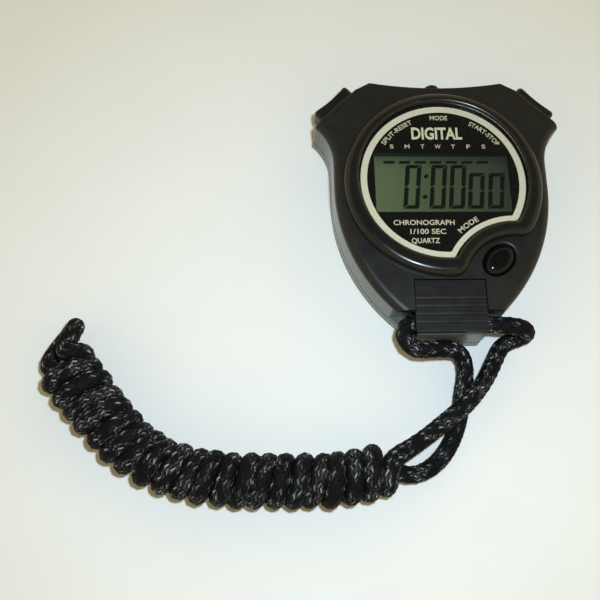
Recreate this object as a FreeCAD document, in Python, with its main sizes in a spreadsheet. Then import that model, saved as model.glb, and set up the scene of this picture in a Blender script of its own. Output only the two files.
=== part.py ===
"""A digital sports stopwatch with its braided wrist lanyard, in millimetres.

The watch lies on its back: +X is to its right, +Y towards its top button, +Z out of its face.
The origin is under the middle of the case, on the surface that the back rests on.
"""
import FreeCAD, Part
import math
import os

from FreeCAD import Placement, Rotation, Vector

# ---------------------------------------------------------------- driving dimensions
SIZES = {
    # case
    "case_width": 64.0,
    "case_top": 33.3,
    "case_bottom": -35.2,
    "top_half_width": 17.4,
    "top_dip": 1.5,
    "shoulder_x": 21.2,
    "shoulder_y": 31.25,
    "tip_y": 20.8,
    "waist_half_width": 27.5,
    "waist_top": 10.5,
    "waist_bottom": 3.5,
    "belly_radius": 45.6,
    "belly_end": -32.6,
    "lug_half_width": 8.7,
    "wall": 1.6,
    "parting_height": 4.5,
    "face_height": 14.2,
    "bezel_height": 17.0,
    "face_rounding": 2.2,
    "brow_rounding": 0.4,
    "back_rounding": 2.6,
    "seam_bevel": 0.25,
    "corner_round": 0.8,
    "cavity_bottom": -25.0,
    "cavity_low_roof": 10.9,
    "cavity_roof": 12.6,
    # dial
    "dial_y": 4.7,
    "bezel_radius": 25.2,
    "lens_radius": 21.5,
    "bezel_drop": 0.8,
    "bezel_round": 1.9,
    "bezel_inner_round": 0.9,
    "bezel_blend": 4.2,
    "lens_seat": 15.1,
    "lens_gap": 0.12,
    "print_thickness": 0.15,
    "lens_thickness": 1.3,
    "lens_lift": 0.03,
    "notch_x": 17.0,
    "notch_y": -23.9,
    "notch_radius": 16.75,
    "bezel_notch_radius": 13.3,
    "window_x": -0.05,
    "window_y": 3.95,
    "window_width": 34.6,
    "window_depth": 16.3,
    "opening_margin": 0.4,
    # display
    "glass_width": 36.4,
    "glass_depth": 19.6,
    "glass_height": 10.8,
    "glass_thickness": 1.5,
    "film_thickness": 0.15,
    "holder_width": 38.4,
    "holder_depth": 21.6,
    "zebra_width": 35.4,
    "zebra_depth": 1.8,
    # circuit board
    "board_height": 7.2,
    "board_thickness": 1.0,
    "board_radius": 23.5,
    "board_tab_radius": 4.6,
    # front button
    "oval_x": 12.8,
    "oval_y": -16.6,
    "oval_length": 9.2,
    "oval_width": 6.7,
    "oval_gap": 0.15,
    "oval_flange": 0.5,
    "oval_top": 15.1,
    "oval_travel": 0.8,
    # side buttons
    "side_height": 8.6,
    "side_length": 11.8,
    "side_depth": 6.0,
    "side_shift": -1.9,
    "side_proud": 3.8,
    "side_sunk": 1.2,
    "side_well": 3.0,
    "side_gap": 0.2,
    "side_travel": 1.0,
    "side_dish_radius": 22.0,
    "side_dish": 0.75,
    "stem_radius": 1.2,
    "stem_length": 6.8,
    "clip_radius": 2.0,
    "clip_thickness": 0.6,
    "leaf_thickness": 0.25,
    "leaf_width": 3.0,
    # top button
    "top_button_radius": 2.0,
    "top_button_end": 35.0,
    "top_button_travel": 0.5,
    "top_button_head": 4.85,
    # strap channel and its cover
    "cover_half_width": 8.8,
    "cover_top": -21.7,
    "cover_bottom": -35.0,
    "cover_height": 12.5,
    "cover_face": 14.05,
    "cover_gap": 0.12,
    "rail_height": 12.65,
    "tongue": 0.5,
    "tongue_thickness": 0.6,
    "groove_width": 0.45,
    "groove_lip": 0.25,
    "groove_depth": 0.45,
    "groove_pitch": 2.02,
    "groove_start": -26.7,
    "channel_front": -33.9,
    "channel_back": -28.6,
    "channel_floor": 5.6,
    "panel_end": -29.5,
    # fasteners
    "boss_radius": 2.3,
    "screw_radius": 0.95,
    "screw_hole": 1.0,
    "screw_head": 1.75,
    "screw_head_height": 1.1,
    "upper_boss_x": 26.0,
    "upper_boss_y": 18.6,
    "lower_boss_x": 20.8,
    "lower_boss_y": -13.5,
    # battery and buzzer
    "battery_radius": 5.8,
    "battery_thickness": 5.1,
    "battery_x": -10.5,
    "battery_y": 12.5,
    "buzzer_x": 8.0,
    "buzzer_y": 4.0,
    "buzzer_radius": 8.0,
    # lanyard
    "cord": 4.15,
    "wrap": 13.4,
}

doc = FreeCAD.newDocument("Stopwatch")
sheet = doc.addObject("Spreadsheet::Sheet", "Sizes")
for row, (alias, value) in enumerate(SIZES.items(), start=1):
    sheet.set(f"A{row}", alias)
    sheet.set(f"B{row}", str(value))
    sheet.setAlias(f"B{row}", alias)
doc.recompute()


def size(alias):
    """A driving dimension, read back from the sheet."""
    return float(sheet.get(alias))


def cell(text):
    """An expression in which every known alias is a cell of the sheet."""
    words = text.replace("(", "( ").replace(")", " )").split()
    return " ".join("Sizes." + word if word in SIZES else word for word in words)


# ---------------------------------------------------------------- modelling helpers
UPPER_BOSS = (size("upper_boss_x"), size("upper_boss_y"))
LOWER_BOSS = (size("lower_boss_x"), size("lower_boss_y"))
BOSSES = [(side * x, y) for x, y in (UPPER_BOSS, LOWER_BOSS) for side in (1, -1)]
BOARD_POSTS = [(-14.0, -9.5), (4.5, -13.0), (0.0, 20.5)]
sub_parts = []


def new_body(name):
    """A PartDesign body whose label names its file."""
    body = doc.addObject("PartDesign::Body", name)
    body.Label = name
    sub_parts.append(body)
    return body


def sketch_on(body, height, role="XY_Plane"):
    """A sketch on one of the body's origin planes, raised by an expression."""
    sketch = body.newObject("Sketcher::SketchObject", "Sketch")
    base = next(f for f in body.Origin.OriginFeatures if f.Role == role)
    sketch.AttachmentSupport = [(base, "")]
    sketch.MapMode = "FlatFace"
    sketch.setExpression(".AttachmentOffset.Base.z", cell(height))
    return sketch


def tilted_sketch(body, placement):
    """A sketch on the body's base plane, turned to a placement of its own."""
    sketch = body.newObject("Sketcher::SketchObject", "Sketch")
    base = next(f for f in body.Origin.OriginFeatures if f.Role == "XY_Plane")
    sketch.AttachmentSupport = [(base, "")]
    sketch.MapMode = "FlatFace"
    sketch.AttachmentOffset = placement
    return sketch


def draw(sketch, wire):
    """Copies a flat wire's lines, arcs and circles into a sketch."""
    for edge in wire.Edges:
        curve = edge.Curve
        if isinstance(curve, Part.Circle) and not edge.isClosed():
            curve = Part.ArcOfCircle(curve, edge.FirstParameter, edge.LastParameter)
        elif isinstance(curve, Part.Line):
            curve = Part.LineSegment(edge.Vertexes[0].Point, edge.Vertexes[1].Point)
        sketch.addGeometry(curve, False)


def circle(sketch, x, y, radius):
    """A circle held by its centre and by a radius from the sheet."""
    import Sketcher
    index = sketch.addGeometry(Part.Circle(Vector(x, y, 0), Vector(0, 0, 1), 1.0), False)
    sketch.addConstraint(Sketcher.Constraint("DistanceX", -1, 1, index, 3, x))
    sketch.addConstraint(Sketcher.Constraint("DistanceY", -1, 1, index, 3, y))
    number = sketch.addConstraint(Sketcher.Constraint("Radius", index, 1.0))
    sketch.setExpression(f"Constraints[{number}]", cell(radius))


def rectangle(sketch, left, right, bottom, top):
    """A plain rectangle."""
    corners = [Vector(x, y, 0) for x, y in
               ((left, bottom), (right, bottom), (right, top), (left, top))]
    for start, end in zip(corners, corners[1:] + corners[:1]):
        sketch.addGeometry(Part.LineSegment(start, end), False)


def rounded_rectangle(length, depth, radius):
    """A wire: a rectangle about the origin with round corners."""
    plate = Part.makePlane(length, depth, Vector(-length / 2, -depth / 2, 0))
    return plate.makeOffset2D(-radius).makeOffset2D(radius).OuterWire


def ellipse(sketch, margin):
    """The front button's outline, widened by a margin."""
    centre = Vector(size("oval_x"), size("oval_y"), 0)
    long_half = size("oval_length") / 2 + margin
    short_half = size("oval_width") / 2 + margin
    long_axis = Vector(1, 1, 0).normalize()
    short_axis = Vector(-1, 1, 0).normalize()
    curve = Part.Ellipse(centre + long_axis * long_half, centre + short_axis * short_half, centre)
    sketch.addGeometry(curve, False)


def pad(body, sketch, length, down=False):
    """Adds material above the sketch, or below it."""
    feature = body.newObject("PartDesign::Pad", "Pad")
    feature.Profile = sketch
    feature.Reversed = down
    feature.setExpression("Length", cell(length))
    doc.recompute()
    return feature


def pocket(body, sketch, depth, up=False):
    """Cuts below the sketch, or above it, and makes sure that it cut something."""
    before = body.Shape.Volume
    feature = body.newObject("PartDesign::Pocket", "Pocket")
    feature.Profile = sketch
    feature.Reversed = up
    feature.setExpression("Length", cell(depth))
    doc.recompute()
    assert body.Shape.Volume < before - 1e-3, f"{body.Label}: a pocket cuts nothing"
    return feature


def edges_where(body, test):
    """Names of the body's edges whose whole length passes a test."""
    names = []
    for number, edge in enumerate(body.Shape.Edges, start=1):
        if not edge.Degenerated and all(test(point) for point in edge.discretize(9)):
            names.append(f"Edge{number}")
    assert names, f"{body.Label}: no edge to dress"
    return names


def dress(body, kind, names, amount):
    """A fillet or a chamfer on named edges."""
    base = body.Tip
    feature = body.newObject(f"PartDesign::{kind}", kind)
    feature.Base = (base, names)
    feature.setExpression("Radius" if kind == "Fillet" else "Size", cell(amount))
    body.Tip = feature
    doc.recompute()
    assert feature.isValid(), f"{body.Label}: {kind} of {amount} failed"
    return feature


def simple(kind, name, **cells):
    """A Part primitive whose properties are bound to the sheet."""
    thing = doc.addObject(f"Part::{kind}", name)
    thing.Label = name
    for prop, text in cells.items():
        thing.setExpression(prop, cell(text))
    return thing


def place(thing, x, y, z):
    """Binds the place of a thing to expressions."""
    for axis, text in zip("xyz", (x, y, z)):
        thing.setExpression(f".Placement.Base.{axis}", cell(text))
    return thing


def box(name, x, y, z, length, width, height, own=True):
    """A box on a corner."""
    thing = simple("Box", name, Length=length, Width=width, Height=height)
    place(thing, x, y, z)
    if own:
        sub_parts.append(thing)
    return thing


def cylinder(name, x, y, z, radius, height, own=True):
    """An upright cylinder."""
    thing = simple("Cylinder", name, Radius=radius, Height=height)
    place(thing, x, y, z)
    if own:
        sub_parts.append(thing)
    return thing


def feature(name, shape):
    """A sub-part whose shape is made with Part's own functions."""
    thing = doc.addObject("Part::Feature", name)
    thing.Label = name
    thing.Shape = shape
    sub_parts.append(thing)
    return thing


# ---------------------------------------------------------------- outlines
def case_face(inset=0.0, bottom=None):
    """The case seen from the front, as a face; inset for its inside, and cut off below."""
    tip = Vector(size("case_width") / 2, size("tip_y"), 0)
    shoulder = Vector(size("shoulder_x"), size("shoulder_y"), 0)
    top = Vector(size("top_half_width"), size("case_top"), 0)
    waist_top = Vector(size("waist_half_width"), size("waist_top"), 0)
    waist_bottom = Vector(size("waist_half_width"), size("waist_bottom"), 0)
    lug = Vector(size("lug_half_width") - 0.4, size("case_bottom"), 0)

    # the flank above the waist is a hollow arc that meets the waist upright
    reach = tip.x - waist_top.x
    flank_radius = (reach ** 2 + (tip.y - waist_top.y) ** 2) / (2 * reach)
    flank_centre = waist_top + Vector(flank_radius, 0, 0)
    flank_end = math.atan2(tip.y - flank_centre.y, tip.x - flank_centre.x)
    flank_middle = flank_centre + Vector(1, 0, 0) * flank_radius * math.cos((flank_end + math.pi) / 2)
    flank_middle.y += flank_radius * math.sin((flank_end + math.pi) / 2)

    # the belly is one arc from the waist to the lug
    belly_centre = waist_bottom - Vector(size("belly_radius"), 0, 0)
    belly_turn = math.asin((waist_bottom.y - size("belly_end")) / size("belly_radius"))

    def on_belly(turn):
        return belly_centre + Vector(math.cos(turn), -math.sin(turn), 0) * size("belly_radius")

    def right_side(mirror):
        def at(point):
            return Vector(point.x * mirror, point.y, 0)
        return [
            Part.LineSegment(at(top), at(shoulder)).toShape(),
            Part.LineSegment(at(shoulder), at(tip)).toShape(),
            Part.Arc(at(tip), at(flank_middle), at(waist_top)).toShape(),
            Part.LineSegment(at(waist_top), at(waist_bottom)).toShape(),
            Part.Arc(at(waist_bottom), at(on_belly(belly_turn / 2)), at(on_belly(belly_turn))).toShape(),
            Part.LineSegment(at(on_belly(belly_turn)), at(lug)).toShape(),
        ]

    middle = Vector(0, top.y - size("top_dip"), 0)
    edges = right_side(1) + right_side(-1)
    edges.append(Part.Arc(Vector(-top.x, top.y, 0), middle, top).toShape())
    edges.append(Part.LineSegment(Vector(-lug.x, lug.y, 0), lug).toShape())
    face = Part.Face(Part.Wire(Part.__sortEdges__(edges)))
    if inset:
        face = face.makeOffset2D(-inset, 2).Faces[0]
    if bottom is not None:
        span = size("case_width")
        face = face.common(Part.makePlane(2 * span, 2 * span, Vector(-span, bottom, 0))).Faces[0]
    return face


def dial_face(radius, notch_radius, corner, drop=0.0):
    """A disc with a round bite beside the front button, its corners rounded."""
    up = Vector(0, 0, 1)
    centre = Vector(0, size("dial_y") - drop, 0)
    notch = Vector(size("notch_x"), size("notch_y"), 0)
    disc = Part.Face(Part.Wire(Part.makeCircle(radius, centre, up)))
    bite = Part.Face(Part.Wire(Part.makeCircle(notch_radius, notch, up)))
    face = disc.cut(bite).Faces[0]
    return face.makeOffset2D(-corner).Faces[0].makeOffset2D(corner).Faces[0]


def side_button_placement(side):
    """Where a shoulder button sits: its Z points out of the case, its Y up."""
    shoulder = Vector(size("shoulder_x"), size("shoulder_y"), 0)
    tip = Vector(size("case_width") / 2, size("tip_y"), 0)
    along = (tip - shoulder).normalize()
    centre = (shoulder + tip) * 0.5 + along * size("side_shift")
    outward = Vector(-along.y * side, along.x, 0)
    centre = Vector(centre.x * side, centre.y, size("side_height"))
    up = Vector(0, 0, 1)
    return Placement(centre, Rotation(up.cross(outward), up, outward, "ZYX"))


# ---------------------------------------------------------------- case
def case_block(body, bottom, thickness):
    """The case's outline as a block, the corners above its sharp tips rounded."""
    outline = sketch_on(body, bottom)
    draw(outline, case_face().OuterWire)
    pad(body, outline, thickness)
    corners = [Vector(size("top_half_width"), size("case_top"), 0),
               Vector(size("shoulder_x"), size("shoulder_y"), 0)]

    def at_corner(point):
        flat = Vector(abs(point.x), point.y, 0)
        return any((flat - corner).Length < 1e-3 for corner in corners)
    dress(body, "Fillet", edges_where(body, at_corner), "corner_round")


def front_shell():
    body = new_body("front_shell")
    case_block(body, "parting_height", "face_height - parting_height")
    face = size("face_height")
    seam = size("parting_height")
    tip = size("tip_y")
    below = edges_where(body, lambda p: abs(p.z - face) < 1e-6 and p.y < tip + 1e-3)
    dress(body, "Fillet", below, "face_rounding")
    above = edges_where(body, lambda p: abs(p.z - face) < 1e-6 and p.y > tip - 2.5)
    dress(body, "Fillet", above, "brow_rounding")
    dress(body, "Chamfer", edges_where(body, lambda p: abs(p.z - seam) < 1e-6), "seam_bevel")

    bezel = sketch_on(body, "face_height - 1")
    draw(bezel, dial_face(size("bezel_radius"), size("bezel_notch_radius"),
                          size("bezel_blend"), size("bezel_drop")).OuterWire)
    pad(body, bezel, "bezel_height - face_height + 1")
    top = size("bezel_height")
    dress(body, "Fillet", edges_where(body, lambda p: abs(p.z - top) < 1e-6), "bezel_round")

    seat = sketch_on(body, "bezel_height")
    draw(seat, dial_face(size("lens_radius"), size("notch_radius"), 1.0).OuterWire)
    pocket(body, seat, "bezel_height - lens_seat")

    def on_bezel_lip(point):
        from_dial = math.hypot(point.x, point.y - size("dial_y"))
        return abs(point.z - top) < 1e-6 and from_dial < size("lens_radius") + 0.01
    dress(body, "Fillet", edges_where(body, on_bezel_lip), "bezel_inner_round")

    hollow_case(body)
    window = sketch_on(body, "lens_seat")
    margin = size("opening_margin")
    half_width = size("window_width") / 2 + margin
    half_depth = size("window_depth") / 2 + margin
    rectangle(window, size("window_x") - half_width, size("window_x") + half_width,
              size("window_y") - half_depth, size("window_y") + half_depth)
    pocket(body, window, "lens_seat - cavity_roof + 1")
    strap_channel(body)
    oval_socket(body)
    for side in (1, -1):
        shoulder_well(body, side)
    top_button_hole(body)
    front_posts(body)


def hollow_case(body):
    """The inside: low over the strap cover's seat, higher everywhere else."""
    wall = size("wall")
    low = sketch_on(body, "parting_height")
    draw(low, case_face(wall, size("cavity_bottom")).OuterWire)
    pocket(body, low, "cavity_low_roof - parting_height", up=True)
    high = sketch_on(body, "parting_height")
    seat = Part.makePlane(19.2, 19.5, Vector(-9.6, -40.0, 0))
    draw(high, case_face(wall, size("cavity_bottom")).cut(seat).Faces[0].OuterWire)
    pocket(body, high, "cavity_roof - parting_height", up=True)


def strap_channel(body):
    """The trough that the lanyard runs through, its open ends, and the cover's seat."""
    gap = size("cover_gap")
    edge = size("cover_half_width")
    span = size("case_width") / 2
    seat = sketch_on(body, "face_height + 1")
    rectangle(seat, -edge - gap, edge + gap, size("case_bottom") - 1, size("cover_top") + gap)
    pocket(body, seat, "face_height + 1 - cover_height + cover_gap")
    trough = sketch_on(body, "cover_height - cover_gap")
    rectangle(trough, -span, span, size("channel_front"), size("channel_back"))
    pocket(body, trough, "cover_height - cover_gap - channel_floor")
    rails = sketch_on(body, "rail_height + tongue_thickness + cover_gap")
    reach = edge + size("tongue") + gap
    rectangle(rails, -reach, reach, size("panel_end") - 1, size("cover_top"))
    pocket(body, rails, "tongue_thickness + 2 * cover_gap")
    for side in (1, -1):
        mouth = sketch_on(body, "face_height + 1")
        inner, outer = sorted((side * size("lug_half_width"), side * span))
        rectangle(mouth, inner, outer, size("case_bottom") - 1, size("panel_end"))
        pocket(body, mouth, "face_height + 1 - channel_floor")


def oval_socket(body):
    """The front button's socket with its rounded lip."""
    hole = sketch_on(body, "face_height")
    ellipse(hole, size("oval_gap"))
    pocket(body, hole, "face_height - cavity_roof + 0.5")
    centre = Vector(size("oval_x"), size("oval_y"), size("face_height"))
    reach = size("oval_length") / 2 + 0.5
    lip = edges_where(body, lambda p: abs(p.z - centre.z) < 1e-6 and (p - centre).Length < reach)
    dress(body, "Fillet", lip, "oval_flange + 0.15")


def shoulder_well(body, side):
    """The walled pocket for a shoulder button and the hole for its stem."""
    placement = side_button_placement(side)
    gap = size("side_gap")
    rim = 1.1
    half_length = size("side_length") / 2 + gap + rim
    half_depth = size("side_height") - size("parting_height") - 0.1
    floor = size("side_well") + size("wall") - 0.4
    block = tilted_sketch(body, placement.multiply(Placement(Vector(0, 0, -floor), Rotation())))
    rectangle(block, -half_length, half_length, -half_depth, half_depth - 0.1)
    pad(body, block, "side_well")
    well = tilted_sketch(body, placement.multiply(Placement(Vector(0, 0, 2), Rotation())))
    draw(well, rounded_rectangle(size("side_length") + 2 * gap, size("side_depth") + 2 * gap, 1.2))
    pocket(body, well, "side_well + 2")
    hole = tilted_sketch(body, placement)
    circle(hole, 0, 0, "stem_radius + 0.25")
    pocket(body, hole, "side_well + 3")


def top_button_hole(body):
    """A round hole through the top wall."""
    placement = Placement(Vector(0, size("case_top") + 1, size("side_height")),
                          Rotation(Vector(0, 0, 1), Vector(0, 1, 0)))
    hole = tilted_sketch(body, placement)
    circle(hole, 0, 0, "top_button_radius + 0.15")
    pocket(body, hole, "wall + 3")


def front_posts(body):
    """Screw bosses at the corners and short posts that carry the circuit board."""
    bosses = sketch_on(body, "parting_height")
    for x, y in BOSSES:
        circle(bosses, x, y, "boss_radius")
    pad(body, bosses, "cavity_roof - parting_height + 0.2")
    holes = sketch_on(body, "parting_height")
    for x, y in BOSSES:
        circle(holes, x, y, "screw_hole")
    pocket(body, holes, "6", up=True)
    posts = sketch_on(body, "board_height + board_thickness")
    for x, y in BOARD_POSTS:
        circle(posts, x, y, "boss_radius - 0.6")
    pad(body, posts, "cavity_roof - board_height - board_thickness + 0.2")
    pilots = sketch_on(body, "board_height + board_thickness")
    for x, y in BOARD_POSTS:
        circle(pilots, x, y, "screw_hole - 0.3")
    pocket(body, pilots, "3", up=True)


def rear_shell():
    body = new_body("rear_shell")
    case_block(body, "0", "parting_height")
    seam = size("parting_height")
    dress(body, "Fillet", edges_where(body, lambda p: abs(p.z) < 1e-6), "back_rounding")
    dress(body, "Chamfer", edges_where(body, lambda p: abs(p.z - seam) < 1e-6), "seam_bevel")
    hollow = sketch_on(body, "parting_height")
    draw(hollow, case_face(size("wall") + 1.0, size("cavity_bottom")).OuterWire)
    pocket(body, hollow, "parting_height - wall")
    bosses = sketch_on(body, "wall - 0.2")
    for x, y in BOSSES:
        circle(bosses, x, y, "boss_radius")
    pad(body, bosses, "parting_height - wall + 0.2")
    cup = sketch_on(body, "wall - 0.2")
    circle(cup, size("battery_x"), size("battery_y"), "battery_radius + 1.2")
    circle(cup, size("battery_x"), size("battery_y"), "battery_radius + 0.3")
    pad(body, cup, "2.4")
    holes = sketch_on(body, "0")
    for x, y in BOSSES:
        circle(holes, x, y, "screw_hole")
    pocket(body, holes, "parting_height + 1", up=True)
    heads = sketch_on(body, "0")
    for x, y in BOSSES:
        circle(heads, x, y, "screw_head + 0.15")
    pocket(body, heads, "screw_head_height + 0.3", up=True)


def screws(name, places, head_bottom, up, shank_length):
    """A group of identical cross-head screws, each a revolved solid with a recess."""
    radius = size("screw_radius") if up else size("screw_radius") - 0.3
    head = size("screw_head") if up else size("screw_head") - 0.35
    height = size("screw_head_height") - (0 if up else 0.4)
    solids = []
    for x, y in places:
        start = Vector(x, y, head_bottom)
        shape = Part.makeCylinder(head, height, start)
        rim = [e for e in shape.Edges if e.isClosed() and e.BoundBox.ZMax < head_bottom + 1e-6]
        shape = shape.makeChamfer(0.2, rim)
        shape = shape.fuse(Part.makeCylinder(radius, height + shank_length, start))
        for turn in (45, 135):
            slot = Part.makeBox(head * 1.2, 0.4, 0.5, Vector(-head * 0.6, -0.2, 0))
            slot.rotate(Vector(0, 0, 0), Vector(0, 0, 1), turn)
            slot.translate(start)
            shape = shape.cut(slot)
        solids.append(shape.removeSplitter())
    return feature(name, Part.makeCompound(solids))


# ---------------------------------------------------------------- window and display
def window_lens():
    body = new_body("window_lens")
    outline = sketch_on(body, "lens_seat + print_thickness + lens_lift")
    gap = size("lens_gap")
    draw(outline, dial_face(size("lens_radius") - gap, size("notch_radius") + gap, 0.9).OuterWire)
    pad(body, outline, "lens_thickness")
    top = sum(size(part) for part in ("lens_seat", "print_thickness", "lens_lift", "lens_thickness"))
    dress(body, "Chamfer", edges_where(body, lambda p: abs(p.z - top) < 1e-6), "0.2")


def dial_mask():
    body = new_body("dial_mask")
    outline = sketch_on(body, "lens_seat")
    gap = size("lens_gap")
    draw(outline, dial_face(size("lens_radius") - gap, size("notch_radius") + gap, 0.9).OuterWire)
    pad(body, outline, "print_thickness")
    window = sketch_on(body, "lens_seat + print_thickness")
    corner = rounded_rectangle(size("window_width"), size("window_depth"), 0.8)
    corner.translate(Vector(size("window_x"), size("window_y"), 0))
    draw(window, corner)
    pocket(body, window, "print_thickness")


def display():
    """The liquid-crystal cell between its two films, its holder and its two rubber contacts."""
    box("lcd_cell", "window_x - glass_width / 2", "window_y - glass_depth / 2", "glass_height",
        "glass_width", "glass_depth", "glass_thickness")
    film_left = "window_x - glass_width / 2 + 0.5"
    box("lcd_front_polarizer", film_left, "window_y - glass_depth / 2 + 0.9",
        "glass_height + glass_thickness", "glass_width - 1", "glass_depth - 1.8", "film_thickness")
    box("lcd_rear_reflector", film_left, "window_y - glass_depth / 2 + zebra_depth + 0.6",
        "glass_height - film_thickness", "glass_width - 1", "glass_depth - 2 * zebra_depth - 1.2",
        "film_thickness")
    body = new_body("lcd_holder")
    frame = sketch_on(body, "board_height + board_thickness + 0.05")
    centre_x, centre_y = size("window_x"), size("window_y")

    def centred(sketch, width, depth):
        rectangle(sketch, centre_x - width / 2, centre_x + width / 2,
                  centre_y - depth / 2, centre_y + depth / 2)

    centred(frame, size("holder_width"), size("holder_depth"))
    pad(body, frame, "glass_height + glass_thickness - board_height - board_thickness - 0.05")
    nest = sketch_on(body, "glass_height + glass_thickness")
    centred(nest, size("glass_width") + 0.3, size("glass_depth") + 0.3)
    pocket(body, nest, "glass_thickness + 0.2")
    opening = sketch_on(body, "glass_height")
    centred(opening, size("zebra_width") + 0.2, size("glass_depth") - 0.6)
    pocket(body, opening, "4")
    for name, edge in (("zebra_strip_upper", 1), ("zebra_strip_lower", -1)):
        shift = f"window_y + {edge} * (glass_depth / 2 - zebra_depth / 2 - 0.4) - zebra_depth / 2"
        box(name, "window_x - zebra_width / 2", shift, "board_height + board_thickness",
            "zebra_width", "zebra_depth",
            "glass_height - board_height - board_thickness")


# ---------------------------------------------------------------- electronics
def circuit_board():
    body = new_body("circuit_board")
    disc = sketch_on(body, "board_height")
    circle(disc, 0, size("dial_y"), "board_radius")
    pad(body, disc, "board_thickness")
    tab = sketch_on(body, "board_height")
    circle(tab, size("oval_x"), size("oval_y") + 0.8, "board_tab_radius")
    pad(body, tab, "board_thickness")
    holes = sketch_on(body, "board_height + board_thickness")
    for x, y in BOARD_POSTS:
        circle(holes, x, y, "screw_hole - 0.1")
    pocket(body, holes, "board_thickness")


def board_parts():
    """What is soldered under the board, and the buzzer on the back."""
    below = size("board_height")
    chip = Part.makeSphere(7.0, Vector(9.0, -2.0, below + 5.8))
    chip = chip.common(Part.makeBox(20, 20, 1.2, Vector(-1, -12, below - 1.2)))
    feature("chip_blob", chip)
    can = Part.makeCylinder(1.0, 6.0, Vector(-3.0, -8.0, below - 1.05), Vector(1, 0, 0))
    leads = [Part.makeBox(1.6, 0.3, 0.3, Vector(-4.5, -8.0 + dy, below - 0.3)) for dy in (-0.6, 0.3)]
    riser = [Part.makeBox(0.3, 0.3, 1.2, Vector(-3.2, -8.0 + dy, below - 1.2)) for dy in (-0.6, 0.3)]
    feature("quartz_crystal", can.multiFuse(leads + riser).removeSplitter())
    capacitors = [Part.makeBox(2.0, 1.25, 0.9, Vector(x, y, below - 0.9))
                  for x, y in ((-8.0, -4.0), (-8.0, -1.5), (14.0, 12.0), (10.0, 16.0))]
    feature("chip_capacitors", Part.makeCompound(capacitors))
    resistors = [Part.makeBox(1.6, 0.8, 0.5, Vector(x, y, below - 0.5))
                 for x, y in ((0.0, -13.0), (-2.5, -11.5), (15.0, 5.0), (3.0, 18.5))]
    feature("chip_resistors", Part.makeCompound(resistors))
    cylinder("buzzer_plate", "buzzer_x", "buzzer_y", "wall", "buzzer_radius", "0.25")
    cylinder("buzzer_ceramic", "buzzer_x", "buzzer_y", "wall + 0.25", "buzzer_radius - 2", "0.2")
    feature("buzzer_spring", coil(Vector(size("buzzer_x") + 3.0, size("buzzer_y") + 3.0, 0),
                                  size("wall") + 0.6, below - 0.15, 0.9, 0.15, 5))


def coil(centre, bottom, top, radius, wire, turns):
    """A compression spring of round wire, its ends at two heights."""
    helix = Part.makeHelix((top - bottom) / turns, top - bottom, radius)
    profile = Part.Wire(Part.makeCircle(wire, Vector(radius, 0, 0), Vector(0, 1, 0)))
    spring = Part.Wire(helix.Edges).makePipeShell([profile], True, True)
    spring.translate(Vector(centre.x, centre.y, bottom))
    return spring


def battery():
    """A button cell with its two contacts."""
    x, y = size("battery_x"), size("battery_y")
    bottom = size("board_height") - 0.25 - size("battery_thickness")
    cell_shape = Part.makeCylinder(size("battery_radius"), size("battery_thickness") - 0.5,
                                   Vector(x, y, bottom + 0.5))
    rims = [e for e in cell_shape.Edges if isinstance(e.Curve, Part.Circle)]
    cell_shape = cell_shape.makeFillet(0.3, rims)
    button = Part.makeCylinder(size("battery_radius") - 1.0, 0.6, Vector(x, y, bottom))
    feature("battery_cell", cell_shape.fuse(button).removeSplitter())
    strip = Part.makeBox(4.0, 12.4, 0.2, Vector(x - 2.0, y - 6.2, size("board_height") - 0.22))
    feature("battery_top_contact", strip)
    plate = Part.makeCylinder(3.2, 0.2, Vector(x, y, size("wall")))
    arm = Part.makeBox(3.0, 7.5, 0.2, Vector(x - 1.5, y - 7.2, size("wall") + 0.01))
    arm = arm.common(Part.makeCylinder(size("battery_radius") + 0.1, 2.0, Vector(x, y, 1.5)))
    feature("battery_base_contact", plate.fuse(arm).removeSplitter())


def leaf_contact(name, placement, stem_end):
    """A sprung brass leaf at the board's edge: a foot on the board and a leaf the stem meets."""
    thick, width = size("leaf_thickness"), size("leaf_width")
    top = size("board_height") + size("board_thickness") - size("side_height")
    reach = stem_end - size("side_travel") - 0.1
    foot = Part.makeBox(width, thick, 2.2, Vector(-width / 2, top, reach - 2.2))
    leaf = Part.makeBox(width, 2.4, thick, Vector(-width / 2, top, reach - thick))
    contact = feature(name, foot.fuse(leaf).removeSplitter())
    contact.Placement = placement


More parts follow.
